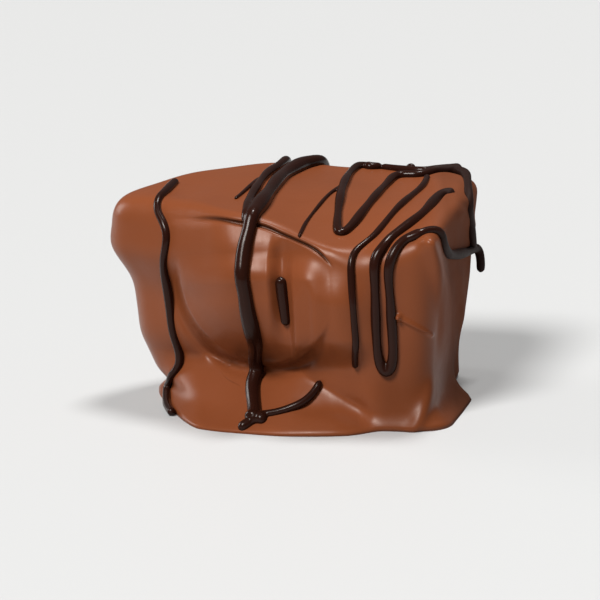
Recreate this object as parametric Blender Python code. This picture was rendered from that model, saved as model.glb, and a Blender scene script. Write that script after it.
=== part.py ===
"""A chocolate-covered pineapple piece.

One wedge of a pineapple slice, dipped in milk chocolate that has run down into a foot,
with strands of dark chocolate drizzled across it and fused to the coat.

All sizes below are millimetres, and the finished mesh is in metres. The narrow core end of
the wedge faces -Y, the wide outer side faces +Y, and the piece rests on the plane z=0.
The coat is described by a field: a function that is negative inside the chocolate, zero on
its surface and about the distance to the surface elsewhere.
"""
import bmesh
import bpy
import numpy as np

MM = 0.001
NODE = "chocolate_pineapple"
# The plan position of the middle of the finished piece, which becomes the origin
MIDDLE = (-1.02, 0.78)

# The wedge
TOP_HEIGHT = 37.2
LEFT_CUT = {"point": (-8.6, -9.0), "azimuth": 231.0, "lean": 8.0}
CORE_CUT = {"point": (14.0, -22.2), "azimuth": 268.0, "lean": 2.5}
RIGHT_CUT = {"point": (24.5, -2.0), "azimuth": -15.0, "lean": 6.5}
LEFT_TIP = {"point": (-25.4, 0.0), "azimuth": 186.0, "lean": 20.0}
RIND_CENTRE = (1.0, -20.0)
RIND_RADIUS = 43.5
RIND_LEAN = 0.08
TOP_EDGE_ROUND = 5.0
FOLD_SHARPENS = 3.0
RIGHT_SHARPENS = 2.5

# The chocolate that has run down to the foot
FOOT_HEIGHT = 9.5
FOOT_CURVE = 1.8
CORE_FOOT_HEIGHT = 3.2
CORE_SPREAD = 1.6
CORE_SPREAD_HEIGHT = 14.0
LEFT_FOOT = 13.0
LEFT_TIP_FOOT = 5.4
CORE_FOOT = 4.6
RIND_FOOT = 2.0
RIGHT_FOOT = 5.6
RIGHT_FOOT_FADE = 3.0

# Relief on the front, placed on the upright plane y=0 as (across, up), as it shows from
# the front viewpoint
FRONT_EYE = np.array([9.5, -529.4, 147.7])
BACK_EYE = np.array([-2.0, 529.4, 147.7])
FOLD = [(-21.2, 33.3), (-14.6, 33.1), (-10.3, 31.9), (-6.8, 31.6), (-3.2, 29.5), (-0.7, 28.4), (2.1, 26.8),
        (3.9, 25.2), (5.2, 22.9), (7.0, 21.7), (9.0, 21.4)]
VALLEY = [(-2.5, 28.6), (-3.2, 25.5), (-3.6, 21.0), (-3.4, 12.0)]
BROW_HEIGHT = 28.0
BROW_DROP = 4.5
SHEET_CENTRE = (-6.2, 23.8)
SHEET_REACH = (16.2, 13.0, 17.9)
HOLLOW = [(-19.0, 8.6), (-3.0, 7.0), (3.0, 7.6)]

# The coat's mesh: cells along x, y and z
CELLS = (29, 22, 15)
GUIDE = (46.0, 38.0, 52.0)

# The drizzle: each strand has its half width and its route, as points on the upright plane
# y=0 seen from the front viewpoint, then from the back one
SIDES = 7
RING_STEP = 2.1
WELD = 0.01
STANDS_OUT = 0.3
FREE_HEIGHT = 1.5
BRIDGES = 0.9
STRANDS = [
    (0.76, [(-21.5, 39.9), (-23.0, 38.5), (-24.9, 34.9), (-23.6, 31.5), (-23.9, 28.2), (-24.4, 23.7),
            (-23.8, 17.7), (-22.4, 8.2), (-23.3, 6.0), (-24.9, 3.0), (-25.4, 0.7), (-26.3, -1.9)], []),
    (0.85, [(-9.6, 31.7), (-9.1, 35.3), (-7.6, 37.8), (-5.6, 40.3), (-3.4, 41.7)],
           [(-2.5, 32.0), (-3.6, 26.0), (-3.0, 18.0), (-4.4, 11.5)]),
    (1.35, [(-10.3, -4.6), (-10.0, -2.5), (-10.0, 2.3), (-9.3, 7.5), (-9.2, 11.0), (-10.3, 17.9),
            (-10.8, 22.0), (-10.2, 27.0), (-8.8, 31.8), (-5.6, 36.6), (-3.0, 39.6), (0.0, 41.3),
            (2.0, 41.8)],
           [(3.5, 32.0), (4.6, 26.0), (4.0, 17.0), (6.0, 8.5), (5.0, 2.0), (5.6, -4.5)]),
    (1.70, [(-11.0, -4.6), (-10.5, -4.0), (-9.8, -2.4)], []),
    (1.20, [(-8.6, -4.5), (-9.4, -2.8)], []),
    (0.90, [(-13.2, -5.4), (-11.8, -4.9), (-10.2, -3.6)], []),
    (0.38, [(-11.4, 36.3), (-9.3, 37.9), (-7.1, 39.7)], []),
    (0.70, [(-9.8, -3.0), (-6.4, -2.7), (-2.7, -1.7), (-0.1, -0.2), (1.4, 1.6), (2.0, 2.9)], []),
    (0.36, [(7.2, 37.6), (5.4, 36.6), (3.5, 34.8), (0.8, 31.6), (-0.6, 28.8)], []),
    (0.92, [(-4.4, 22.1), (-4.1, 20.0), (-3.7, 16.8), (-3.5, 13.2)], []),
    (0.82, [(28.3, 40.2), (24.1, 39.6), (21.0, 38.8), (17.1, 38.9), (15.0, 37.3), (11.7, 33.9), (8.5, 30.2),
            (6.2, 29.4), (7.0, 35.8), (8.5, 39.3), (10.8, 41.0), (14.4, 40.9)],
           [(12.5, 32.0), (13.6, 25.0), (13.0, 15.0), (14.5, 8.0), (17.2, 6.4), (18.6, 10.0),
            (18.0, 20.0), (19.4, 28.0), (21.0, 32.0)]),
    (0.78, [(14.4, 40.8), (19.1, 39.8), (21.9, 39.5), (24.7, 40.0), (27.9, 39.8), (28.9, 39.0),
            (29.2, 37.6), (29.0, 34.1), (29.3, 29.4), (29.4, 25.0)], []),
    (0.62, [(22.3, 38.6), (21.6, 37.2), (19.4, 35.3), (13.0, 28.9), (9.4, 26.2), (8.4, 24.6), (8.2, 21.3),
            (8.2, 15.9), (8.2, 4.9)], []),
    (0.88, [(26.9, 35.3), (24.6, 35.2), (21.0, 31.8), (14.3, 26.4), (12.7, 24.3), (12.1, 14.0),
            (12.3, 6.7), (13.6, 3.4), (14.9, 6.4), (14.9, 16.2), (15.0, 23.2), (18.0, 27.4), (21.2, 28.6)],
           []),
    (0.85, [(18.0, 27.4), (21.2, 28.6), (25.1, 24.8), (28.3, 24.9), (30.2, 25.6), (31.6, 24.1),
            (31.1, 21.1)], []),
    (0.70, [], [(-18.0, 30.5), (-19.6, 25.0), (-18.8, 16.0), (-20.4, 6.0), (-19.6, 0.0), (-20.0, -5.0)]),
    (0.45, [], [(-27.4, 31.0), (-28.4, 24.0), (-27.6, 15.0)]),
]


def soft_max(a, b, size):
    """The larger of two fields, rounded where they meet."""
    near = np.maximum(size - np.abs(a - b), 0.0) / size
    return np.maximum(a, b) + near * near * size / 4


def ramp(value, low, high):
    t = np.clip((value - low) / (high - low), 0.0, 1.0)
    return t * t * (3 - 2 * t)


def bell(value, width):
    return np.exp(-(value / width) ** 2)


def cut(points, point, azimuth, lean):
    """The distance beyond a flat side that faces an azimuth and leans outward as it rises."""
    turn, tilt = np.radians(azimuth), np.radians(lean)
    normal = (np.cos(turn) * np.cos(tilt), np.sin(turn) * np.cos(tilt), -np.sin(tilt))
    return (points - (*point, 0.0)) @ normal


def seen_from_front(points):
    """Where the sight lines from the front viewpoint to the points cross the plane y=0."""
    part = -FRONT_EYE[1] / (points[:, 1] - FRONT_EYE[1])
    across = FRONT_EYE[0] + (points[:, 0] - FRONT_EYE[0]) * part
    return across, FRONT_EYE[2] + (points[:, 2] - FRONT_EYE[2]) * part


def distance_to_line(across, up, line):
    best = np.full(len(across), 1e9)
    for start, end in zip(line[:-1], line[1:]):
        dx, dy = end[0] - start[0], end[1] - start[1]
        t = np.clip(((across - start[0]) * dx + (up - start[1]) * dy) / (dx * dx + dy * dy), 0.0, 1.0)
        best = np.minimum(best, np.hypot(across - start[0] - t * dx, up - start[1] - t * dy))
    return best


def shoulder(part):
    """A rise from 0 to 1 that is steepest at its start."""
    return np.sin(np.pi / 2 * np.clip(part, 0.0, 1.0))


def fold_height(across):
    """How high the fold is at places across, with its corners smoothed."""
    fold_u, fold_w = zip(*FOLD)
    return sum(np.interp(across + step, fold_u, fold_w) for step in (-1.5, -0.5, 0.5, 1.5)) / 4


def relief(points):
    """The height of the folds, lobes and ridges of the coat above its plain sides."""
    u, w = seen_from_front(points)
    below = fold_height(u) - w
    valley_w, valley_u = zip(*[(up, across) for across, up in reversed(VALLEY)])
    past_valley = u - np.interp(w, valley_w, valley_u)
    reach = np.where(u < SHEET_CENTRE[0], SHEET_REACH[0], SHEET_REACH[1])
    inside = np.hypot((u - SHEET_CENTRE[0]) / reach, (w - SHEET_CENTRE[1]) / SHEET_REACH[2])
    inside = 16.0 * (1 - inside)
    rolled = 1 - shoulder(inside / 4.5)
    rolls_under = 1 - rolled * ramp(SHEET_CENTRE[1] - w, 0.0, 3.0) * ramp(u, -20.0, -9.0)
    outer_lobe = 2.4 * ramp(-past_valley, 0.2, 3.4) + 1.6 * ramp(-past_valley, 2.0, 12.0)
    outer_lobe *= ramp(u, -30.0, -8.0) * shoulder(below / 9.0) * rolls_under * ramp(w, 6.0, 18.0)
    below_brow = BROW_HEIGHT - BROW_DROP * (1 - np.exp(-np.maximum(u + 1.0, 0.0) / 11.0)) - w
    inner_lobe = 1.3 * ramp(past_valley, 0.2, 1.5) + 1.5 * ramp(past_valley, 0.0, 7.5)
    inner_lobe *= ramp(-u, -14.0, -4.5) * ramp(below_brow, 0.0, 10.5) * ramp(w, 4.5, 10.0)
    sheet = 1.5 * ramp(inside, -0.5, 0.7) - 0.9 * bell(inside + 1.2, 0.9)
    sheet *= ramp(27.0 - w, 0.0, 6.0) * ramp(4.5 - u, 0.0, 5.0) * ramp(u, -26.0, -21.0)
    hollow = -0.9 * bell(distance_to_line(u, w, HOLLOW), 2.8) * ramp(u, -19.0, -8.0)
    on_front = ramp(8.0 - points[:, 1] - 0.45 * (points[:, 0] + 10.0), 0.0, 5.0)
    past_edge = u - 24.8 + 0.0145 * (w - 14.5) ** 2
    ridge = (0.6 + 0.8 * ramp(w, 2.0, 12.0)) * bell(past_edge, np.where(past_edge < 0, 1.7, 1.1))
    ridge *= ramp(29.5 - w, 0.0, 3.0)
    on_core_end = ramp(0.5 * points[:, 0] - points[:, 1], 4.0, 10.0)
    return on_front * (outer_lobe + inner_lobe + sheet + hollow) + on_core_end * ridge


def coat(points):
    """The field of the milk chocolate coat."""
    x, y, z = points.T
    at_core = np.clip((x + 3.0) / 13.0, 0.0, 1.0) * ramp(-y, 0.0, 12.0)
    foot_height = FOOT_HEIGHT - (FOOT_HEIGHT - CORE_FOOT_HEIGHT) * at_core
    foot_curve = FOOT_CURVE - 0.2 * ramp(x, -5.0, 1.0)
    foot = np.clip(1 - z / foot_height, 0.0, 1.0) ** foot_curve
    core_foot = CORE_FOOT * foot * (1 - 0.35 * ramp(x, -2.0, 9.0) - 0.65 * ramp(x, 6.0, 12.0))
    spread = np.clip(1 - z / CORE_SPREAD_HEIGHT, 0.0, 1.0) ** 1.5
    spread *= CORE_SPREAD * (ramp(x, -2.0, 9.0) + 1.3 * ramp(x, 6.0, 12.0))
    left_foot = LEFT_TIP_FOOT + (LEFT_FOOT - LEFT_TIP_FOOT) * ramp(x, -27.0, -19.0)
    left_foot *= 1 - 0.85 * ramp(x, 4.0, 13.0)
    left = cut(points, **LEFT_CUT) - left_foot * foot + bell(z - 9.0, 4.0)
    left += 0.16 * np.maximum(z - 14.0, 0.0) * ramp(x, -16.0, -2.0)
    core = cut(points, **CORE_CUT) - core_foot - spread
    fade = np.exp(-np.maximum(z, 0.0) / RIGHT_FOOT_FADE)
    right = cut(points, **RIGHT_CUT) - RIGHT_FOOT * fade * (1 - ramp(y, -8.0, 5.0))
    right += bell(z - 5.0, 7.0) * ramp(y, -10.0, 8.0)
    rind = np.hypot(x - RIND_CENTRE[0], y - RIND_CENTRE[1]) - RIND_RADIUS - RIND_LEAN * z
    rind += 0.6 * bell(z - 11.0, 5.0) - RIND_FOOT * foot * ramp(x, -26.0, -12.0) * (1 - ramp(x, 10.0, 22.0))
    side = soft_max(soft_max(left, core, 8.0), right, 4.0)
    side = soft_max(soft_max(side, rind, 7.0), cut(points, **LEFT_TIP), 5.0)
    side += 0.6 * np.clip(1 - z / 0.8, 0.0, 1.0) ** 2
    tip = 1.1 * bell(z - 27.5, 3.6) + 1.3 * bell(z - 10.5, 4.6) + 1.4 * bell(z, 1.4)
    tip -= 0.5 * bell(z - 36.0, 3.2) + 0.4 * bell(z - 20.5, 3.2) + 1.2 * bell(z - 2.5, 1.6)
    side -= tip * ramp(-x, 11.0, 25.0)
    low_corner = 4.5 * bell(np.hypot((x - 5.0) / 13.0, (y + 25.0) / 17.0), 1.0)
    low_tip = 0.6 * bell(np.hypot((x + 30.0) / 12.0, (y - 6.0) / 16.0), 1.0)
    top = z - (TOP_HEIGHT + 0.045 * y - low_corner - low_tip - 1.9 * ramp(x, -8.0, 16.0))
    waves = 0.10 * np.sin(0.31 * x + 0.17 * z + 1.3) * np.sin(0.27 * y - 0.12 * x + 0.4)
    waves += 0.07 * np.sin(0.45 * z + 0.21 * x + 2.1) * np.sin(0.39 * x - 0.2 * y)
    at_fold = ramp(x, -20.0, -10.0) * ramp(-x, -12.0, -5.0) * ramp(-y, -6.0, 4.0)
    edge_round = TOP_EDGE_ROUND - FOLD_SHARPENS * at_fold - RIGHT_SHARPENS * ramp(x, 14.0, 24.0)
    return soft_max(side, top, edge_round) - waves - relief(points)


def slope(points, step=0.02):
    """The gradient of the coat's field."""
    corners = np.array([(1, -1, -1), (-1, -1, 1), (-1, 1, -1), (1, 1, 1)], float)
    return sum(corner * coat(points + step * corner)[:, None] for corner in corners) / (4 * step)


def box_cells(nx, ny, nz):
    """The quads of a box with an open bottom: corner places, quads and the bottom ring."""
    around = 2 * (nx + ny)
    ring = [(-1 + 2 * i / nx, -1) for i in range(nx)] + [(1, -1 + 2 * i / ny) for i in range(ny)]
    ring += [(-x, -y) for x, y in ring]
    places = [(x, y, k / nz) for k in range(nz + 1) for x, y in ring]
    rim = np.arange(around) + nz * around
    index = np.empty((nx + 1, ny + 1), int)
    index[:nx, 0] = rim[:nx]
    index[nx, :ny] = rim[nx:nx + ny]
    index[nx:0:-1, ny] = rim[nx + ny:2 * nx + ny]
    index[0, ny:0:-1] = rim[2 * nx + ny:]
    for i in range(1, nx):
        for j in range(1, ny):
            index[i, j] = len(places)
            places.append((-1 + 2 * i / nx, -1 + 2 * j / ny, 1.0))
    here = np.arange(around)
    after = (here + 1) % around
    quads = [np.c_[here, after, after + around, here + around] + k * around for k in range(nz)]
    lid = np.stack([index[:-1, :-1], index[1:, :-1], index[1:, 1:], index[:-1, 1:]], -1)
    quads.append(lid.reshape(-1, 4))
    return np.array(places), np.concatenate(quads), here


def coat_mesh(cells):
    """The coat as points and quads, with the ring where it meets the surface below."""
    box, quads, ring = box_cells(*cells)
    x = box[:, 0] * np.sqrt(1 - 0.25 * box[:, 1] ** 2)
    y = box[:, 1] * np.sqrt(1 - 0.25 * box[:, 0] ** 2)
    outer = np.c_[x, y, box[:, 2]] * GUIDE
    core = np.c_[x * 0.35, y * 0.35, box[:, 2] * 0.4] * GUIDE
    low, high = np.zeros(len(box)), np.ones(len(box))
    for _ in range(20):
        middle = (low + high) / 2
        inside = coat(core + (outer - core) * middle[:, None]) < 0
        low = np.where(inside, middle, low)
        high = np.where(inside, high, middle)
    points = core + (outer - core) * low[:, None]
    edges = np.concatenate([quads[:, [i, (i + 1) % 4]] for i in range(4)])
    edges = np.unique(np.sort(edges, axis=1), axis=0)
    on_ring = np.zeros(len(points), bool)
    on_ring[ring] = True
    start, end = np.concatenate([edges, edges[:, ::-1]]).T
    kept = ~(on_ring[start] & ~on_ring[end])
    start, end = start[kept], end[kept]
    count = np.bincount(start, minlength=len(points))
    for _ in range(12):
        mean = [np.bincount(start, points[end, axis], len(points)) / count for axis in range(3)]
        points = points + 0.6 * (np.stack(mean, 1) - points)
        for _ in range(2):
            normal = slope(points)
            normal[on_ring, 2] = 0.0
            size = np.maximum((normal ** 2).sum(1), 0.05)
            points = points - (coat(points) / size)[:, None] * normal
        points[on_ring, 2] = 0.0
    return points, quads, ring


def cast(eye, places):
    """Points of the coat where sight lines through places on the plane y=0 meet it.

    A line that passes the coat gives the point where it passes closest, and how far off.
    """
    aim = np.array([(u, 0.0, w) for u, w in places]) - eye
    aim /= np.linalg.norm(aim, axis=1)[:, None]
    travel = (abs(eye[1]) - 60.0) / np.abs(aim[:, 1])
    best, best_gap = travel.copy(), np.full(len(travel), 1e9)
    for _ in range(90):
        places = eye + aim * travel[:, None]
        gap = coat(places)
        nearer = (gap < best_gap) & (places[:, 2] > 0.4)
        best = np.where(nearer, travel, best)
        best_gap = np.where(nearer, gap, best_gap)
        travel = travel + 0.6 * np.maximum(gap, 0.0)
    return eye + aim * best[:, None], np.clip(best_gap, 0.0, FREE_HEIGHT)


def smooth_curve(points, step):
    """A smooth curve through the points, with a point at about every step."""
    ends = np.concatenate([[2 * points[0] - points[1]], points, [2 * points[-1] - points[-2]]])
    curve = []
    for a, b, c, d in zip(ends[:-3], ends[1:-2], ends[2:-1], ends[3:]):
        t = np.linspace(0, 1, 12, endpoint=False)[:, None]
        curve.append(((-t + 2 * t * t - t ** 3) * a + (2 - 5 * t * t + 3 * t ** 3) * b
                      + (t + 4 * t * t - 3 * t ** 3) * c + (t ** 3 - t * t) * d) / 2)
    curve = np.concatenate(curve + [points[-1:]])
    along = np.r_[0, np.cumsum(np.linalg.norm(np.diff(curve[:, :3], axis=0), axis=1))]
    wanted = np.linspace(0, along[-1], max(int(along[-1] / step), 3) + 1)
    return np.stack([np.interp(wanted, along, curve[:, axis]) for axis in range(curve.shape[1])], 1)


def strand_route(half_width, front, back, step):
    """The middle line of a strand, lying on the coat from end to end."""
    parts = [np.c_[cast(eye, places)] for eye, places in ((FRONT_EYE, front), (BACK_EYE, back)) if places]
    route = smooth_curve(np.concatenate(parts), step)
    points, free = route[:, :3], route[:, 3]
    for turn in range(6):
        normal = slope(points)
        smoothed = (points[:-2] + 2 * points[1:-1] + points[2:]) / 4 - points[1:-1]
        if turn > 0:
            outward = normal[1:-1] / np.linalg.norm(normal[1:-1], axis=1)[:, None]
            smoothed = (smoothed * outward).sum(1)[:, None] * outward
        points[1:-1] += smoothed
        height = coat(points) - STANDS_OUT * half_width
        off = height - np.clip(height, 0.0, np.maximum(free, BRIDGES * half_width))
        points = points - (off / (normal ** 2).sum(1))[:, None] * normal
    points[:, 2] = np.maximum(points[:, 2], half_width + 0.05)
    return points


def strand_mesh(route, half_width):
    """A round tube along the route, drawn in at its ends."""
    along = np.gradient(route, axis=0)
    along /= np.linalg.norm(along, axis=1)[:, None]
    side = np.cross(along, slope(route))
    side /= np.linalg.norm(side, axis=1)[:, None]
    up = np.cross(side, along)
    angles = 2 * np.pi * np.arange(SIDES) / SIDES
    circle = np.cos(angles)[None, :, None] * side[:, None] + np.sin(angles)[None, :, None] * up[:, None]
    widths = np.full(len(route), half_width)
    widths[[0, -1]] *= 0.55
    places = (route[:, None] + circle * widths[:, None, None]).reshape(-1, 3)
    faces = []
    for ring in range(len(route) - 1):
        for i in range(SIDES):
            j = (i + 1) % SIDES
            low, high = ring * SIDES, (ring + 1) * SIDES
            faces.append((low + i, low + j, high + j, high + i))
    faces.append(tuple(range(SIDES))[::-1])
    faces.append(tuple(range(len(places) - SIDES, len(places))))
    return places, faces


def material(name, colour, roughness):
    made = bpy.data.materials.new(name)
    made.use_nodes = True
    shader = made.node_tree.nodes["Principled BSDF"]
    shader.inputs["Base Color"].default_value = (*colour, 1.0)
    shader.inputs["Roughness"].default_value = roughness
    shader.inputs["Metallic"].default_value = 0.0
    return made


def add_object(name, places, faces, finish, collection):
    mesh = bpy.data.meshes.new(name)
    shifted = (np.asarray(places) - (MIDDLE[0], MIDDLE[1], 0.0)) * MM
    mesh.from_pydata(shifted.tolist(), [], [tuple(int(i) for i in face) for face in faces])
    mesh.materials.append(finish)
    mesh.update()
    made = bpy.data.objects.new(name, mesh)
    collection.objects.link(made)
    return made


def face_outward(mesh):
    shape = bmesh.new()
    shape.from_mesh(mesh)
    bmesh.ops.recalc_face_normals(shape, faces=shape.faces)
    shape.to_mesh(mesh)
    shape.free()


def keep_largest_shell(mesh):
    """Close hairline gaps, then drop loose scraps and fill sealed hollows, shells of their own."""
    shape = bmesh.new()
    shape.from_mesh(mesh)
    bmesh.ops.triangulate(shape, faces=shape.faces[:])
    bmesh.ops.remove_doubles(shape, verts=shape.verts[:], dist=WELD * MM)
    left = set(shape.faces)
    shells = []
    while left:
        shell, reach = set(), [left.pop()]
        while reach:
            face = reach.pop()
            shell.add(face)
            for edge in face.edges:
                if len(edge.link_faces) != 2:
                    continue
                for other in edge.link_faces:
                    if other in left:
                        left.remove(other)
                        reach.append(other)
        shells.append(shell)
    largest = max(shells, key=len)
    scraps = [face for shell in shells if shell is not largest for face in shell]
    bmesh.ops.delete(shape, geom=scraps, context="FACES")
    shape.to_mesh(mesh)
    shape.free()


def fuse(body, collection):
    """Join the strands to the coat, and remove their own objects."""
    union = body.modifiers.new("fuse", "BOOLEAN")
    union.operation = "UNION"
    union.operand_type = "COLLECTION"
    union.collection = collection
    union.solver = "EXACT"
    union.material_mode = "TRANSFER"
    evaluated = body.evaluated_get(bpy.context.evaluated_depsgraph_get())
    fused = bpy.data.meshes.new_from_object(evaluated)
    body.modifiers.clear()
    body.data = fused
    for strand in list(collection.objects):
        bpy.data.objects.remove(strand, do_unlink=True)
    bpy.data.collections.remove(collection)
    keep_largest_shell(fused)


def main():
    for old in list(bpy.data.objects):
        bpy.data.objects.remove(old, do_unlink=True)
    scene = bpy.context.scene.collection
    milk = material("milk_chocolate", (0.165, 0.056, 0.026), 0.34)
    dark = material("dark_chocolate", (0.022, 0.010, 0.008), 0.22)
    points, quads, ring = coat_mesh(CELLS)
    body = add_object(NODE, points, list(quads) + [ring[::-1]], milk, scene)
    drizzle = bpy.data.collections.new("drizzle")
    scene.children.link(drizzle)
    for number, (half_width, front, back) in enumerate(STRANDS):
        route = strand_route(half_width, front, back, RING_STEP)
        places, faces = strand_mesh(route, half_width)
        strand = add_object(f"strand_{number}", places, faces, dark, drizzle)
        face_outward(strand.data)
    fuse(body, drizzle)
    body.data.shade_smooth()
    body.data.set_sharp_from_angle(angle=np.radians(50))


main()
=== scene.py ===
"""The looks of a chocolate-covered pineapple piece.

The piece is a wedge of a pineapple slice in a smooth milk chocolate coat, with strands of dark
chocolate drizzled over it. The coat and the drizzle are two meshes that stand for the one solid
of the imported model. Sizes are millimetres until a mesh is made, and metres after that.
"""

import bpy
import numpy as np
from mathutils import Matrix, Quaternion, Vector


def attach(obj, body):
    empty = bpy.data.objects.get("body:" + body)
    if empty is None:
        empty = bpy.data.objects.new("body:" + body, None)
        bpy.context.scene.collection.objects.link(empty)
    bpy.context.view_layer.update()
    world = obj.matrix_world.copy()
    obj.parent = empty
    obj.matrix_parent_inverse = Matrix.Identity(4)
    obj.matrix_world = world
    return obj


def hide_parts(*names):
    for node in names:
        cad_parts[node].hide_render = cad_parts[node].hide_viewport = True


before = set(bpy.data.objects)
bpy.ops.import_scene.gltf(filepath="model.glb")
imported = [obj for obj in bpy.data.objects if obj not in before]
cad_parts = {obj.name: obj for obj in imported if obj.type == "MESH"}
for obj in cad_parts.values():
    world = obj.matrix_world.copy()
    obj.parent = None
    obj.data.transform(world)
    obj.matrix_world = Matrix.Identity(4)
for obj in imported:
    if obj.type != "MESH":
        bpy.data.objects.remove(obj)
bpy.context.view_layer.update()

MM = 0.001
NODE = "chocolate_pineapple"
# The plan position of the middle of the finished piece, which becomes the origin
MIDDLE = (-1.02, 0.78)

# The wedge
TOP_HEIGHT = 37.2
LEFT_CUT = {"point": (-8.6, -9.0), "azimuth": 231.0, "lean": 8.0}
CORE_CUT = {"point": (14.0, -22.2), "azimuth": 268.0, "lean": 2.5}
RIGHT_CUT = {"point": (24.5, -2.0), "azimuth": -15.0, "lean": 6.5}
LEFT_TIP = {"point": (-25.4, 0.0), "azimuth": 186.0, "lean": 20.0}
RIND_CENTRE = (1.0, -20.0)
RIND_RADIUS = 43.5
RIND_LEAN = 0.08
CORE_ROUND = 8.0
RIGHT_ROUND = 4.0
RIND_ROUND = 7.0
TIP_ROUND = 5.0
TOP_EDGE_ROUND = 5.0
FOLD_SHARPENS = 3.0
RIGHT_SHARPENS = 2.5
# Waves of the left tip: how deep each cuts in, its height and its reach
TIP_WAVES = [(1.1, 27.5, 3.6), (1.3, 10.5, 4.6), (1.4, 0.0, 1.4),
             (-0.5, 36.0, 3.2), (-0.4, 20.5, 3.2), (-1.2, 2.5, 1.6)]

# The chocolate that has run down to the foot
FOOT_HEIGHT = 9.5
FOOT_CURVE = 1.8
CORE_FOOT_HEIGHT = 3.2
CORE_SPREAD = 1.6
CORE_SPREAD_HEIGHT = 14.0
LEFT_FOOT = 13.0
LEFT_TIP_FOOT = 5.4
CORE_FOOT = 4.6
RIND_FOOT = 2.0
RIGHT_FOOT = 5.6
RIGHT_FOOT_FADE = 3.0
UNDERCUT = 0.6
UNDERCUT_HEIGHT = 0.8

# The viewpoints in front and behind, from which relief and strands are placed
FRONT_EYE = np.array([9.5, -529.4, 147.7])
BACK_EYE = np.array([-2.0, 529.4, 147.7])

# Relief on the front, as (across, up) on the upright plane y=0 seen from the front viewpoint
FOLD = [(-21.2, 33.3), (-14.6, 33.1), (-10.3, 31.9), (-6.8, 31.6), (-3.2, 29.5), (-0.7, 28.4), (2.1, 26.8),
        (3.9, 25.2), (5.2, 22.9), (7.0, 21.7), (9.0, 21.4)]
VALLEY = [(-2.5, 28.6), (-3.2, 25.5), (-3.6, 21.0), (-3.4, 12.0)]
BROW_HEIGHT = 28.0
BROW_DROP = 4.5
SHEET_CENTRE = (-6.2, 23.8)
SHEET_REACH = (16.2, 13.0, 17.9)
HOLLOW = [(-19.0, 8.6), (-3.0, 7.0), (3.0, 7.6)]
# The line under the lobes along which painted shade lies in the coat's colour
PAINTED_SHADE_UNDER_LOBES = [(-12.0, 8.4), (-8.0, 6.9), (-3.0, 6.9), (0.5, 8.0)]
SWOOP = [(-3.5, -1.5), (-1.0, -1.6), (2.8, -1.9), (7.9, -3.1), (9.8, -3.9)]
CREASE_DEPTH = 0.6
CREASE_WIDTH = 0.34
BUBBLE = (16.1, 13.8)
BUBBLE_RUN = [(16.1, 13.7), (18.1, 12.5), (21.7, 10.3)]
LUMPS = [[(23.5, 37.7), (27.5, 36.9)], [(24.2, 36.3), (29.0, 33.8)], [(27.0, 33.2), (30.0, 29.5)]]

# The coat's mesh: cells along x, y and z
CELLS = (140, 106, 73)
GUIDE = (46.0, 38.0, 52.0)
RELAX_TURNS = 10

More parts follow.
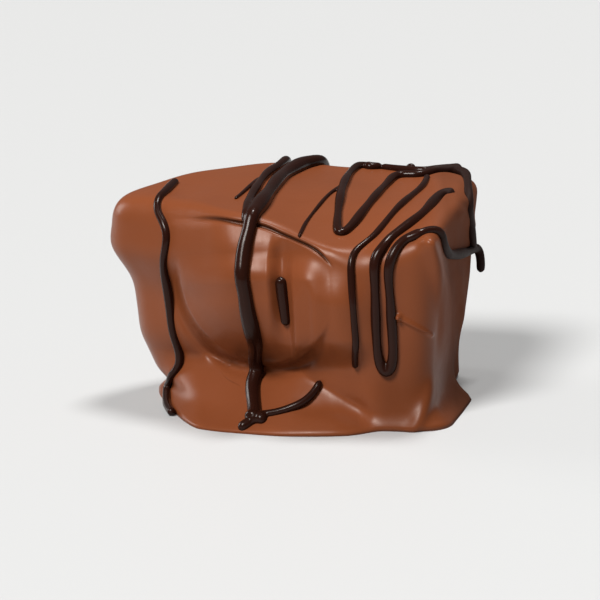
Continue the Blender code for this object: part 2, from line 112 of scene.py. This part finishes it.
# The drizzle: each strand has its half width and its route, as points on the upright plane
# y=0 seen from the front viewpoint, then from the back one
SIDES = 14
RING_STEP = 0.45
STANDS_OUT = 0.3
FREE_HEIGHT = 1.5
BRIDGES = 0.9
ROUTE_TURNS = 50
FREE_TURNS = 10
DRIZZLE_VOXEL = 0.17
SEED = 7
STRANDS = [
    (0.76, [(-21.5, 39.9), (-23.0, 38.5), (-24.9, 34.9), (-23.6, 31.5), (-23.9, 28.2), (-24.4, 23.7),
            (-23.8, 17.7), (-22.4, 8.2), (-23.3, 6.0), (-24.9, 3.0), (-25.4, 0.7), (-26.3, -1.9)], []),
    (0.85, [(-9.6, 31.7), (-9.1, 35.3), (-7.6, 37.8), (-5.6, 40.3), (-3.4, 41.7)],
           [(-2.5, 32.0), (-3.6, 26.0), (-3.0, 18.0), (-4.4, 11.5)]),
    (1.35, [(-10.3, -4.6), (-10.0, -2.5), (-10.0, 2.3), (-9.3, 7.5), (-9.2, 11.0), (-10.3, 17.9),
            (-10.8, 22.0), (-10.2, 27.0), (-8.8, 31.8), (-5.6, 36.6), (-3.0, 39.6), (0.0, 41.3),
            (2.0, 41.8)],
           [(3.5, 32.0), (4.6, 26.0), (4.0, 17.0), (6.0, 8.5), (5.0, 2.0), (5.6, -4.5)]),
    (1.70, [(-11.0, -4.6), (-10.5, -4.0), (-9.8, -2.4)], []),
    (1.20, [(-8.6, -4.5), (-9.4, -2.8)], []),
    (0.90, [(-13.2, -5.4), (-11.8, -4.9), (-10.2, -3.6)], []),
    (0.38, [(-11.4, 36.3), (-9.3, 37.9), (-7.1, 39.7)], []),
    (0.70, [(-9.8, -3.0), (-6.4, -2.7), (-2.7, -1.7), (-0.1, -0.2), (1.4, 1.6), (2.0, 2.9)], []),
    (0.36, [(7.2, 37.6), (5.4, 36.6), (3.5, 34.8), (0.8, 31.6), (-0.6, 28.8)], []),
    (0.92, [(-4.4, 22.1), (-4.1, 20.0), (-3.7, 16.8), (-3.5, 13.2)], []),
    (0.82, [(28.3, 40.2), (24.1, 39.6), (21.0, 38.8), (17.1, 38.9), (15.0, 37.3), (11.7, 33.9), (8.5, 30.2),
            (6.2, 29.4), (7.0, 35.8), (8.5, 39.3), (10.8, 41.0), (14.4, 40.9)],
           [(12.5, 32.0), (13.6, 25.0), (13.0, 15.0), (14.5, 8.0), (17.2, 6.4), (18.6, 10.0),
            (18.0, 20.0), (19.4, 28.0), (21.0, 32.0)]),
    (0.78, [(14.4, 40.8), (19.1, 39.8), (21.9, 39.5), (24.7, 40.0), (27.9, 39.8), (28.9, 39.0),
            (29.2, 37.6), (29.0, 34.1), (29.3, 29.4), (29.4, 25.0)], []),
    (0.62, [(22.3, 38.6), (21.6, 37.2), (19.4, 35.3), (13.0, 28.9), (9.4, 26.2), (8.4, 24.6), (8.2, 21.3),
            (8.2, 15.9), (8.2, 4.9)], []),
    (0.88, [(26.9, 35.3), (24.6, 35.2), (21.0, 31.8), (14.3, 26.4), (12.7, 24.3), (12.1, 14.0),
            (12.3, 6.7), (13.6, 3.4), (14.9, 6.4), (14.9, 16.2), (15.0, 23.2), (18.0, 27.4), (21.2, 28.6)],
           []),
    (0.85, [(18.0, 27.4), (21.2, 28.6), (25.1, 24.8), (28.3, 24.9), (30.2, 25.6), (31.6, 24.1),
            (31.1, 21.1)], []),
    (0.70, [], [(-18.0, 30.5), (-19.6, 25.0), (-18.8, 16.0), (-20.4, 6.0), (-19.6, 0.0), (-20.0, -5.0)]),
    (0.45, [], [(-27.4, 31.0), (-28.4, 24.0), (-27.6, 15.0)]),
]

# The camera's roll in degrees, its lens in millimetres and the place in metres that it faces
CAMERA_ROLL = -3.02
CAMERA_LENS = 186.0
AIM = (0.0, 0.0, 0.0175)

# The studio: each light stands far off in a direction, and has a width in degrees and a strength
LIGHTS = {"key": ((-0.37, -0.52, 0.77), 20.0, 4.0),
          "top": ((0.20, 0.20, 1.0), 14.0, 2.4),
          "rim": ((-0.80, 0.50, 0.30), 25.0, 0.9)}
SURROUND_STRENGTH = 0.12
FLOOR_WIDTH = 4000.0
FLOOR_COLOUR = (0.48, 0.48, 0.475, 1.0)
FLOOR_ROUGHNESS = 0.5

# The chocolates: two tones, the range of the gloss, how much rougher the right side grows (which also sets
# its painted shade), the strength and tint of reflections, the scale of the patches and the strength of the
# grain
MILK = {"light": (0.182, 0.0485, 0.0167), "deep": (0.158, 0.041, 0.013), "gloss": (0.30, 0.39),
        "dull": 0.56, "specular": 0.18, "tint": (1.0, 0.88, 0.8), "patch": 90.0, "bump": 0.15}
DARK = {"light": (0.020, 0.005, 0.003), "deep": (0.014, 0.004, 0.002), "gloss": (0.18, 0.26),
        "dull": 0.45, "specular": 0.14, "tint": (1.0, 0.95, 0.9), "patch": 200.0, "bump": 0.1}
# The right side grows rough between these places along x, and painted shade darkens its colour with it
DULL_BETWEEN = (23.2, 26.4)
# How much painted shade goes with each step of roughness on the right side
PAINTED_SHADE_WHERE_DULL = 0.6


def soft_max(a, b, size):
    """The larger of two fields, rounded where they meet."""
    near = np.maximum(size - np.abs(a - b), 0.0) / size
    return np.maximum(a, b) + near * near * size / 4


def ramp(value, low, high):
    """A smooth rise from 0 at the low value to 1 at the high one."""
    t = np.clip((value - low) / (high - low), 0.0, 1.0)
    return t * t * (3 - 2 * t)


def bell(value, width):
    """A bump of height 1 around 0."""
    return np.exp(-(value / width) ** 2)


def cut(points, point, azimuth, lean):
    """The distance beyond a flat side that faces an azimuth and leans outward as it rises."""
    turn, tilt = np.radians(azimuth), np.radians(lean)
    normal = (np.cos(turn) * np.cos(tilt), np.sin(turn) * np.cos(tilt), -np.sin(tilt))
    return (points - (*point, 0.0)) @ normal


def seen_from_front(points):
    """Where the sight lines from the front viewpoint to the points cross the plane y=0."""
    part = -FRONT_EYE[1] / (points[:, 1] - FRONT_EYE[1])
    across = FRONT_EYE[0] + (points[:, 0] - FRONT_EYE[0]) * part
    return across, FRONT_EYE[2] + (points[:, 2] - FRONT_EYE[2]) * part


def distance_to_line(across, up, line):
    """The distance from places on a plane to a line of points."""
    best = np.full(len(across), 1e9)
    for start, end in zip(line[:-1], line[1:]):
        dx, dy = end[0] - start[0], end[1] - start[1]
        t = np.clip(((across - start[0]) * dx + (up - start[1]) * dy) / (dx * dx + dy * dy), 0.0, 1.0)
        best = np.minimum(best, np.hypot(across - start[0] - t * dx, up - start[1] - t * dy))
    return best


def shoulder(part):
    """A rise from 0 to 1 that is steepest at its start."""
    return np.sin(np.pi / 2 * np.clip(part, 0.0, 1.0))


def fold_height(across):
    """How high the fold is at places across, with its corners smoothed."""
    fold_u, fold_w = zip(*FOLD)
    return sum(np.interp(across + step, fold_u, fold_w) for step in (-1.5, -0.5, 0.5, 1.5)) / 4


def on_front(points):
    """From 1 on the lobed front side to 0 away from it."""
    return ramp(8.0 - points[:, 1] - 0.45 * (points[:, 0] + 10.0), 0.0, 5.0)


def on_core_end(points):
    """From 1 on the narrow end and the right edge to 0 away from them."""
    return ramp(0.5 * points[:, 0] - points[:, 1], 4.0, 10.0)


def relief(points):
    """The height of the folds, lobes and ridges of the coat above its plain sides."""
    u, w = seen_from_front(points)
    below = fold_height(u) - w
    valley_w, valley_u = zip(*[(up, across) for across, up in reversed(VALLEY)])
    past_valley = u - np.interp(w, valley_w, valley_u)
    reach = np.where(u < SHEET_CENTRE[0], SHEET_REACH[0], SHEET_REACH[1])
    inside = np.hypot((u - SHEET_CENTRE[0]) / reach, (w - SHEET_CENTRE[1]) / SHEET_REACH[2])
    inside = 16.0 * (1 - inside)
    rolled = 1 - shoulder(inside / 4.5)
    rolls_under = 1 - rolled * ramp(SHEET_CENTRE[1] - w, 0.0, 3.0) * ramp(u, -20.0, -9.0)
    outer_lobe = 2.4 * ramp(-past_valley, 0.2, 3.4) + 1.6 * ramp(-past_valley, 2.0, 12.0)
    outer_lobe *= ramp(u, -30.0, -8.0) * shoulder(below / 9.0) * rolls_under * ramp(w, 6.0, 18.0)
    below_brow = BROW_HEIGHT - BROW_DROP * (1 - np.exp(-np.maximum(u + 1.0, 0.0) / 11.0)) - w
    inner_lobe = 1.3 * ramp(past_valley, 0.2, 1.5) + 1.5 * ramp(past_valley, 0.0, 7.5)
    inner_lobe *= ramp(-u, -14.0, -4.5) * ramp(below_brow, 0.0, 10.5) * ramp(w, 4.5, 10.0)
    sheet = 1.5 * ramp(inside, -0.5, 0.7) - 0.9 * bell(inside + 1.2, 0.9)
    sheet *= ramp(27.0 - w, 0.0, 6.0) * ramp(4.5 - u, 0.0, 5.0) * ramp(u, -26.0, -21.0)
    hollow = -0.9 * bell(distance_to_line(u, w, HOLLOW), 2.8) * ramp(u, -19.0, -8.0)
    past_edge = u - 24.8 + 0.0145 * (w - 14.5) ** 2
    ridge = (0.6 + 0.8 * ramp(w, 2.0, 12.0)) * bell(past_edge, np.where(past_edge < 0, 1.7, 1.1))
    ridge *= ramp(29.5 - w, 0.0, 3.0)
    front = outer_lobe + inner_lobe + sheet + hollow
    return on_front(points) * front + on_core_end(points) * ridge


def fine_relief(points):
    """The narrow crease, dents, burst bubble, ribs and lumps that show close by."""
    u, w = seen_from_front(points)
    crease = -CREASE_DEPTH * bell(w - fold_height(u), CREASE_WIDTH)
    crease *= ramp(u, -20.0, -9.0) * ramp(5.2 - u, 0.0, 2.5)
    dent = 0.25 * bell(u + 1.8, 0.7) * ramp(w, 7.5, 10.0) * ramp(22.0 - w, 0.0, 6.0)
    slit = -0.4 * bell(u - 0.1, 0.9) * ramp(w, 7.5, 10.0) * ramp(21.5 - w, 0.0, 4.0)
    ribs = bell(u - 27.3 + 0.02 * (w - 15.0), 0.7) + bell(u - 29.4, 0.7)
    ribs *= 0.4 * ramp(w, 8.0, 14.0) * ramp(24.0 - w, 0.0, 4.0)
    bubble = 0.9 * bell(np.hypot(u - BUBBLE[0], w - BUBBLE[1]), 0.5)
    run = 0.5 * bell(distance_to_line(u, w, BUBBLE_RUN), 0.42)
    swoop = -0.6 * bell(distance_to_line(u, w, SWOOP), 1.9)
    swoop *= ramp(u, -6.0, 0.0) * ramp(11.0 - u, 0.0, 3.0)
    swoop *= ramp(points[:, 2], 0.2, 1.6) * (points[:, 2] < 12.0)
    lumps = sum(0.4 * bell(distance_to_line(u, w, line), 0.9) for line in LUMPS)
    front = crease + dent + slit + swoop
    return on_front(points) * front + on_core_end(points) * (ribs + bubble + run) + lumps


def coat(points):
    """The field of the milk chocolate coat, without its fine relief."""
    x, y, z = points.T
    at_core = np.clip((x + 3.0) / 13.0, 0.0, 1.0) * ramp(-y, 0.0, 12.0)
    foot_height = FOOT_HEIGHT - (FOOT_HEIGHT - CORE_FOOT_HEIGHT) * at_core
    foot_curve = FOOT_CURVE - 0.2 * ramp(x, -5.0, 1.0)
    foot = np.clip(1 - z / foot_height, 0.0, 1.0) ** foot_curve
    core_foot = CORE_FOOT * foot * (1 - 0.35 * ramp(x, -2.0, 9.0) - 0.65 * ramp(x, 6.0, 12.0))
    spread = np.clip(1 - z / CORE_SPREAD_HEIGHT, 0.0, 1.0) ** 1.5
    spread *= CORE_SPREAD * (ramp(x, -2.0, 9.0) + 1.3 * ramp(x, 6.0, 12.0))
    left_foot = LEFT_TIP_FOOT + (LEFT_FOOT - LEFT_TIP_FOOT) * ramp(x, -27.0, -19.0)
    left_foot *= 1 - 0.85 * ramp(x, 4.0, 13.0)
    left = cut(points, **LEFT_CUT) - left_foot * foot + bell(z - 9.0, 4.0)
    left += 0.16 * np.maximum(z - 14.0, 0.0) * ramp(x, -16.0, -2.0)
    core = cut(points, **CORE_CUT) - core_foot - spread
    fade = np.exp(-np.maximum(z, 0.0) / RIGHT_FOOT_FADE)
    right = cut(points, **RIGHT_CUT) - RIGHT_FOOT * fade * (1 - ramp(y, -8.0, 5.0))
    right += bell(z - 5.0, 7.0) * ramp(y, -10.0, 8.0)
    rind = np.hypot(x - RIND_CENTRE[0], y - RIND_CENTRE[1]) - RIND_RADIUS - RIND_LEAN * z
    rind += 0.6 * bell(z - 11.0, 5.0)
    rind -= RIND_FOOT * foot * ramp(x, -26.0, -12.0) * (1 - ramp(x, 10.0, 22.0))
    side = soft_max(soft_max(left, core, CORE_ROUND), right, RIGHT_ROUND)
    side = soft_max(soft_max(side, rind, RIND_ROUND), cut(points, **LEFT_TIP), TIP_ROUND)
    side += UNDERCUT * np.clip(1 - z / UNDERCUT_HEIGHT, 0.0, 1.0) ** 2
    tip = sum(depth * bell(z - height, reach) for depth, height, reach in TIP_WAVES)
    side -= tip * ramp(-x, 11.0, 25.0)
    low_corner = 4.5 * bell(np.hypot((x - 5.0) / 13.0, (y + 25.0) / 17.0), 1.0)
    low_tip = 0.6 * bell(np.hypot((x + 30.0) / 12.0, (y - 6.0) / 16.0), 1.0)
    top = z - (TOP_HEIGHT + 0.045 * y - low_corner - low_tip - 1.9 * ramp(x, -8.0, 16.0))
    waves = 0.10 * np.sin(0.31 * x + 0.17 * z + 1.3) * np.sin(0.27 * y - 0.12 * x + 0.4)
    waves += 0.07 * np.sin(0.45 * z + 0.21 * x + 2.1) * np.sin(0.39 * x - 0.2 * y)
    at_fold = ramp(x, -20.0, -10.0) * ramp(-x, -12.0, -5.0) * ramp(-y, -6.0, 4.0)
    edge_round = TOP_EDGE_ROUND - FOLD_SHARPENS * at_fold - RIGHT_SHARPENS * ramp(x, 14.0, 24.0)
    return soft_max(side, top, edge_round) - waves - relief(points)


def slope(field, points, step=0.02):
    """The gradient of a field."""
    corners = np.array([(1, -1, -1), (-1, -1, 1), (-1, 1, -1), (1, 1, 1)], float)
    return sum(corner * field(points + step * corner)[:, None] for corner in corners) / (4 * step)


def box_cells(nx, ny, nz):
    """The quads of a box with an open bottom: corner places, quads and the bottom ring."""
    around = 2 * (nx + ny)
    ring = [(-1 + 2 * i / nx, -1) for i in range(nx)] + [(1, -1 + 2 * i / ny) for i in range(ny)]
    ring += [(-x, -y) for x, y in ring]
    places = [(x, y, k / nz) for k in range(nz + 1) for x, y in ring]
    rim = np.arange(around) + nz * around
    index = np.empty((nx + 1, ny + 1), int)
    index[:nx, 0] = rim[:nx]
    index[nx, :ny] = rim[nx:nx + ny]
    index[nx:0:-1, ny] = rim[nx + ny:2 * nx + ny]
    index[0, ny:0:-1] = rim[2 * nx + ny:]
    for i in range(1, nx):
        for j in range(1, ny):
            index[i, j] = len(places)
            places.append((-1 + 2 * i / nx, -1 + 2 * j / ny, 1.0))
    here = np.arange(around)
    after = (here + 1) % around
    quads = [np.c_[here, after, after + around, here + around] + k * around for k in range(nz)]
    lid = np.stack([index[:-1, :-1], index[1:, :-1], index[1:, 1:], index[:-1, 1:]], -1)
    quads.append(lid.reshape(-1, 4))
    return np.array(places), np.concatenate(quads), here


def settle(field, points, on_ring):
    """Move points onto the surface of a field, and those of the ring within the plane z=0."""
    for _ in range(2):
        normal = slope(field, points)
        normal[on_ring, 2] = 0.0
        size = np.maximum((normal ** 2).sum(1), 0.05)
        points = points - (field(points) / size)[:, None] * normal
    points[on_ring, 2] = 0.0
    return points


def coat_mesh(cells):
    """The coat as points and quads, with the ring where it meets the surface below."""
    box, quads, ring = box_cells(*cells)
    x = box[:, 0] * np.sqrt(1 - 0.25 * box[:, 1] ** 2)
    y = box[:, 1] * np.sqrt(1 - 0.25 * box[:, 0] ** 2)
    outer = np.c_[x, y, box[:, 2]] * GUIDE
    core = np.c_[x * 0.35, y * 0.35, box[:, 2] * 0.4] * GUIDE
    low, high = np.zeros(len(box)), np.ones(len(box))
    for _ in range(20):
        middle = (low + high) / 2
        inside = coat(core + (outer - core) * middle[:, None]) < 0
        low = np.where(inside, middle, low)
        high = np.where(inside, high, middle)
    points = core + (outer - core) * low[:, None]
    edges = np.concatenate([quads[:, [i, (i + 1) % 4]] for i in range(4)])
    edges = np.unique(np.sort(edges, axis=1), axis=0)
    on_ring = np.zeros(len(points), bool)
    on_ring[ring] = True
    start, end = np.concatenate([edges, edges[:, ::-1]]).T
    kept = ~(on_ring[start] & ~on_ring[end])
    start, end = start[kept], end[kept]
    count = np.bincount(start, minlength=len(points))
    for _ in range(RELAX_TURNS):
        mean = [np.bincount(start, points[end, axis], len(points)) / count for axis in range(3)]
        points = points + 0.6 * (np.stack(mean, 1) - points)
        points = settle(coat, points, on_ring)
    faces = [tuple(quad) for quad in quads.tolist()]
    for detailed in (near_lobes, near_crease):
        points, faces = refine(points, faces, detailed)
    on_ring = np.append(on_ring, np.zeros(len(points) - len(on_ring), bool))
    points = settle(coat, points, on_ring)
    normal = slope(coat, points)
    normal /= np.linalg.norm(normal, axis=1)[:, None]
    normal[on_ring] = 0.0
    return points + fine_relief(points)[:, None] * normal, faces, ring


def painted_shade(points):
    """Painted shade on the coat: in the thin crease, under the lobes and low on the core end."""
    u, w = seen_from_front(points)
    # Painted shade along the crease's groove and a painted shadow under the lobes
    crease = bell(w - fold_height(u), 0.42) * ramp(u, -21.0, -13.0) * ramp(5.6 - u, 0.0, 2.5)
    under = 0.5 * bell(distance_to_line(u, w, PAINTED_SHADE_UNDER_LOBES), 1.5)
    # Painted shade low on the core end
    low = 0.38 * bell(w + 1.0, 8.0) * ramp(u, 9.0, 14.0)
    return np.maximum(crease, np.maximum(under, low)) * (points[:, 1] < 4.0)


def near_lobes(centres):
    """Where the front has lobes, or its burst bubble."""
    u, w = seen_from_front(centres)
    lobes = (centres[:, 1] < 5.0) & (w > 2.0) & (w < 36.0) & (u > -22.0) & (u < 9.0)
    return lobes | (centres[:, 1] < 0.0) & (w > 8.0) & (w < 16.0) & (u > 14.0) & (u < 23.0)


def near_crease(centres):
    """Where the front has its thin crease."""
    u, w = seen_from_front(centres)
    return (centres[:, 1] < 4.0) & (np.abs(w - fold_height(u)) < 0.9) & (u > -19.0) & (u < 6.0)


def refine(points, faces, wanted):
    """Split the quads of a wanted place in four, and give their neighbours the new corners."""
    splits = [len(face) == 4 for face in faces]
    corners = np.array([face[:4] for face in faces])
    splits &= wanted(points[corners].mean(1))
    points = list(points)
    middles = {}

    def middle(a, b):
        key = (min(a, b), max(a, b))
        if key not in middles:
            middles[key] = len(points)
            points.append((points[a] + points[b]) / 2)
        return middles[key]

    refined = []
    for face in [face for face, split in zip(faces, splits) if split]:
        sides = [middle(face[i], face[(i + 1) % 4]) for i in range(4)]
        centre = len(points)
        points.append(sum(points[i] for i in face) / 4)
        refined += [(face[i], sides[i], centre, sides[i - 1]) for i in range(4)]
    for face in [face for face, split in zip(faces, splits) if not split]:
        corners = []
        for a, b in zip(face, face[1:] + face[:1]):
            corners.append(a)
            if (min(a, b), max(a, b)) in middles:
                corners.append(middles[min(a, b), max(a, b)])
        refined.append(tuple(corners))
    return np.array(points), refined


def cast(eye, places):
    """Points of the coat where sight lines through places on the plane y=0 meet it.

    A line that passes the coat gives the point where it passes closest, and how far off.
    """
    aim = np.array([(u, 0.0, w) for u, w in places]) - eye
    aim /= np.linalg.norm(aim, axis=1)[:, None]
    travel = (abs(eye[1]) - 60.0) / np.abs(aim[:, 1])
    best, best_gap = travel.copy(), np.full(len(travel), 1e9)
    for _ in range(90):
        places = eye + aim * travel[:, None]
        gap = coat(places)
        nearer = (gap < best_gap) & (places[:, 2] > 0.4)
        best = np.where(nearer, travel, best)
        best_gap = np.where(nearer, gap, best_gap)
        travel = travel + 0.6 * np.maximum(gap, 0.0)
    return eye + aim * best[:, None], np.clip(best_gap, 0.0, FREE_HEIGHT)


def smooth_curve(points, step):
    """A smooth curve through the points, with a point at about every step."""
    ends = np.concatenate([[2 * points[0] - points[1]], points, [2 * points[-1] - points[-2]]])
    curve = []
    for a, b, c, d in zip(ends[:-3], ends[1:-2], ends[2:-1], ends[3:]):
        t = np.linspace(0, 1, 24, endpoint=False)[:, None]
        curve.append(((-t + 2 * t * t - t ** 3) * a + (2 - 5 * t * t + 3 * t ** 3) * b
                      + (t + 4 * t * t - 3 * t ** 3) * c + (t ** 3 - t * t) * d) / 2)
    curve = np.concatenate(curve + [points[-1:]])
    along = np.r_[0, np.cumsum(np.linalg.norm(np.diff(curve[:, :3], axis=0), axis=1))]
    wanted = np.linspace(0, along[-1], max(int(along[-1] / step), 3) + 1)
    return np.stack([np.interp(wanted, along, curve[:, axis]) for axis in range(curve.shape[1])], 1)


def strand_route(half_width, front, back, step):
    """The middle line of a strand, lying on the coat from end to end."""
    views = ((FRONT_EYE, front), (BACK_EYE, back))
    parts = [np.c_[cast(eye, places)] for eye, places in views if places]
    route = smooth_curve(np.concatenate(parts), step)
    points, free = route[:, :3], route[:, 3]
    for turn in range(ROUTE_TURNS):
        normal = slope(coat, points)
        smoothed = (points[:-2] + 2 * points[1:-1] + points[2:]) / 4 - points[1:-1]
        if turn >= FREE_TURNS:
            outward = normal[1:-1] / np.linalg.norm(normal[1:-1], axis=1)[:, None]
            smoothed = (smoothed * outward).sum(1)[:, None] * outward
        points[1:-1] += smoothed
        height = coat(points) - STANDS_OUT * half_width
        off = height - np.clip(height, 0.0, np.maximum(free, BRIDGES * half_width))
        points = points - (off / (normal ** 2).sum(1))[:, None] * normal
    points[:, 2] = np.maximum(points[:, 2], half_width + 0.05)
    return points


def strand_mesh(route, half_width, draw):
    """A bead along the route, uneven in width, with round ends."""
    along = np.gradient(route, axis=0)
    along /= np.linalg.norm(along, axis=1)[:, None]
    side = np.cross(along, slope(coat, route))
    side /= np.linalg.norm(side, axis=1)[:, None]
    up = np.cross(side, along)
    angles = 2 * np.pi * np.arange(SIDES) / SIDES
    circle = np.cos(angles)[None, :, None] * side[:, None] + np.sin(angles)[None, :, None] * up[:, None]
    travel = np.arange(len(route)) * RING_STEP
    uneven = 1 + 0.07 * np.sin(travel / draw.uniform(1.6, 2.2) + draw.uniform(0, 6))
    uneven += 0.06 * np.sin(travel / draw.uniform(3.5, 5.0) + draw.uniform(0, 6))
    from_end = np.minimum(travel, travel[-1] - travel) / half_width
    widths = half_width * uneven * np.sqrt(1 - (1 - np.clip(from_end, 0.04, 1.0)) ** 2)
    places = (route[:, None] + circle * widths[:, None, None]).reshape(-1, 3)
    faces = []
    for ring in range(len(route) - 1):
        for i in range(SIDES):
            j = (i + 1) % SIDES
            low, high = ring * SIDES, (ring + 1) * SIDES
            faces.append((low + i, high + i, high + j, low + j))
    faces.append(tuple(range(SIDES)))
    faces.append(tuple(range(len(places) - SIDES, len(places)))[::-1])
    return places, faces


def add_object(name, places, faces):
    """A new mesh object in the frame, from places in millimetres."""
    mesh = bpy.data.meshes.new(name)
    shifted = (np.asarray(places) - (MIDDLE[0], MIDDLE[1], 0.0)) * MM
    mesh.from_pydata(shifted.tolist(), [], [tuple(int(i) for i in face) for face in faces])
    mesh.update()
    made = bpy.data.objects.new(name, mesh)
    bpy.context.scene.collection.objects.link(made)
    return made


def apply_modifiers(made):
    """Put a mesh that has its modifiers worked in in place of the plain one."""
    evaluated = made.evaluated_get(bpy.context.evaluated_depsgraph_get())
    applied = bpy.data.meshes.new_from_object(evaluated)
    made.modifiers.clear()
    made.data = applied


def make_drizzle():
    """Every strand, run together where they cross."""
    draw = np.random.default_rng(SEED)
    places, faces = [], []
    for half_width, front, back in STRANDS:
        route = strand_route(half_width, front, back, RING_STEP)
        strand_places, strand_faces = strand_mesh(route, half_width, draw)
        start = sum(len(part) for part in places)
        places.append(strand_places)
        faces += [tuple(start + i for i in face) for face in strand_faces]
    drizzle = add_object("drizzle", np.concatenate(places), faces)
    remesh = drizzle.modifiers.new("run_together", "REMESH")
    remesh.mode = "VOXEL"
    remesh.voxel_size = DRIZZLE_VOXEL * MM
    soften = drizzle.modifiers.new("soften", "SMOOTH")
    soften.factor = 0.5
    soften.iterations = 4
    apply_modifiers(drizzle)
    drizzle.data.shade_smooth()
    return drizzle


def make_coat():
    """The coat, with the painted shade kept at each point."""
    points, faces, ring = coat_mesh(CELLS)
    made = add_object("coat", points, faces + [ring[::-1]])
    # Painted shade, kept at each point for the material to darken the colour
    painted_shade_layer = made.data.attributes.new("painted_shade", "FLOAT", "POINT")
    painted_shade_layer.data.foreach_set("value", painted_shade(points).astype(np.float32))
    made.data.shade_smooth()
    return made


def new_material(name):
    """A material with its shader and a function that adds a node to it."""
    made = bpy.data.materials.new(name)
    made.use_nodes = True
    tree = made.node_tree

    def node(kind, **values):
        added = tree.nodes.new(kind)
        for key, value in values.items():
            if key in added.inputs:
                added.inputs[key].default_value = value
            else:
                setattr(added, key, value)
        return added

    return made, tree.nodes["Principled BSDF"], node, tree.links.new


def chocolate(name, light, deep, gloss, dull, specular, tint, patch, bump):
    """Chocolate whose colour drifts between two tones and whose gloss drifts between two values.

    It takes painted shade where its mesh says so, and on the right side it grows rougher and takes painted
    shade as well.
    """
    made, shader, node, link = new_material(name)
    place = node("ShaderNodeTexCoord")
    part = node("ShaderNodeSeparateXYZ")
    link(place.outputs["Object"], part.inputs["Vector"])
    # How rough the right side grows, which also sets the painted shade there
    dull_and_shade_ramp = node("ShaderNodeMapRange", **{"From Min": DULL_BETWEEN[0] * MM,
                                           "From Max": DULL_BETWEEN[1] * MM, "To Max": dull})
    link(part.outputs["X"], dull_and_shade_ramp.inputs["Value"])

    drift = node("ShaderNodeTexNoise", Scale=patch, Detail=3.0, Roughness=0.5)
    link(place.outputs["Object"], drift.inputs["Vector"])
    tone = node("ShaderNodeMix", data_type="RGBA")
    tone.inputs[6].default_value = (*light, 1.0)
    tone.inputs[7].default_value = (*deep, 1.0)
    link(drift.outputs["Fac"], tone.inputs[0])
    # Painted shade: the mesh's painted shade and the shaded right side pull the colour toward a fifth of
    # the deep tone
    painted_shade_layer = node("ShaderNodeAttribute", attribute_name="painted_shade")
    shade = node("ShaderNodeMath", operation="MULTIPLY_ADD")
    link(dull_and_shade_ramp.outputs["Result"], shade.inputs[0])
    shade.inputs[1].default_value = PAINTED_SHADE_WHERE_DULL
    link(painted_shade_layer.outputs["Fac"], shade.inputs[2])
    shaded = node("ShaderNodeMix", data_type="RGBA")
    link(shade.outputs["Value"], shaded.inputs[0])
    link(tone.outputs[2], shaded.inputs[6])
    shaded.inputs[7].default_value = (*(0.2 * value for value in deep), 1.0)
    link(shaded.outputs[2], shader.inputs["Base Color"])

    film = node("ShaderNodeTexNoise", Scale=patch * 2.6, Detail=4.0, Roughness=0.6)
    link(place.outputs["Object"], film.inputs["Vector"])
    sheen = node("ShaderNodeMapRange", **{"From Min": 0.3, "From Max": 0.7,
                                          "To Min": gloss[0], "To Max": gloss[1]})
    link(film.outputs["Fac"], sheen.inputs["Value"])
    rough = node("ShaderNodeMath")
    link(sheen.outputs["Result"], rough.inputs[0])
    link(dull_and_shade_ramp.outputs["Result"], rough.inputs[1])
    link(rough.outputs["Value"], shader.inputs["Roughness"])

    grain = node("ShaderNodeTexNoise", Scale=900.0, Detail=3.0, Roughness=0.55)
    link(place.outputs["Object"], grain.inputs["Vector"])
    raised = node("ShaderNodeBump", Strength=bump, Distance=0.0001)
    link(grain.outputs["Fac"], raised.inputs["Height"])
    link(raised.outputs["Normal"], shader.inputs["Normal"])
    shader.inputs["Specular IOR Level"].default_value = specular
    shader.inputs["Specular Tint"].default_value = (*tint, 1.0)
    return made


def far_light(name, toward, width, strength):
    """A soft light from far off in the direction toward."""
    light = bpy.data.lights.new(name, "SUN")
    light.energy = strength
    light.angle = np.radians(width)
    made = bpy.data.objects.new(name, light)
    bpy.context.scene.collection.objects.link(made)
    made.rotation_mode = "QUATERNION"
    made.rotation_quaternion = Vector(toward).to_track_quat("Z", "Y")


def make_studio():
    """A pale floor, a white surround and soft light, strongest from the upper left."""
    world = bpy.data.worlds.new("surround")
    bpy.context.scene.world = world
    world.use_nodes = True
    background = world.node_tree.nodes["Background"]
    background.inputs["Color"].default_value = (1.0, 1.0, 1.0, 1.0)
    background.inputs["Strength"].default_value = SURROUND_STRENGTH
    for name, (toward, width, strength) in LIGHTS.items():
        far_light(name, toward, width, strength)
    reach = FLOOR_WIDTH / 2
    corners = [(-reach, -reach, 0), (reach, -reach, 0), (reach, reach, 0), (-reach, reach, 0)]
    floor = add_object("floor", corners, [(0, 1, 2, 3)])
    finish, shader, _, _ = new_material("floor")
    shader.inputs["Base Color"].default_value = FLOOR_COLOUR
    shader.inputs["Roughness"].default_value = FLOOR_ROUGHNESS
    floor.data.materials.append(finish)


def make_camera():
    """The camera at the front viewpoint."""
    data = bpy.data.cameras.new("camera")
    data.sensor_width = 36.0
    data.lens = CAMERA_LENS
    data.clip_start = 0.01
    data.clip_end = 20.0
    made = bpy.data.objects.new("camera", data)
    bpy.context.scene.collection.objects.link(made)
    made.location = (FRONT_EYE - (MIDDLE[0], MIDDLE[1], 0.0)) * MM
    toward = (Vector(AIM) - made.location).to_track_quat("-Z", "Y")
    made.rotation_mode = "QUATERNION"
    made.rotation_quaternion = toward @ Quaternion((0, 0, 1), np.radians(CAMERA_ROLL))
    bpy.context.scene.camera = made


bpy.context.scene.view_settings.view_transform = "Standard"
make_camera()
make_studio()

coat_piece = make_coat()
coat_piece.data.materials.append(chocolate("milk_chocolate", **MILK))
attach(coat_piece, "root")
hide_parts(NODE)

drizzle_piece = make_drizzle()
drizzle_piece.data.materials.append(chocolate("dark_chocolate", **DARK))
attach(drizzle_piece, "root")
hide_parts(NODE)
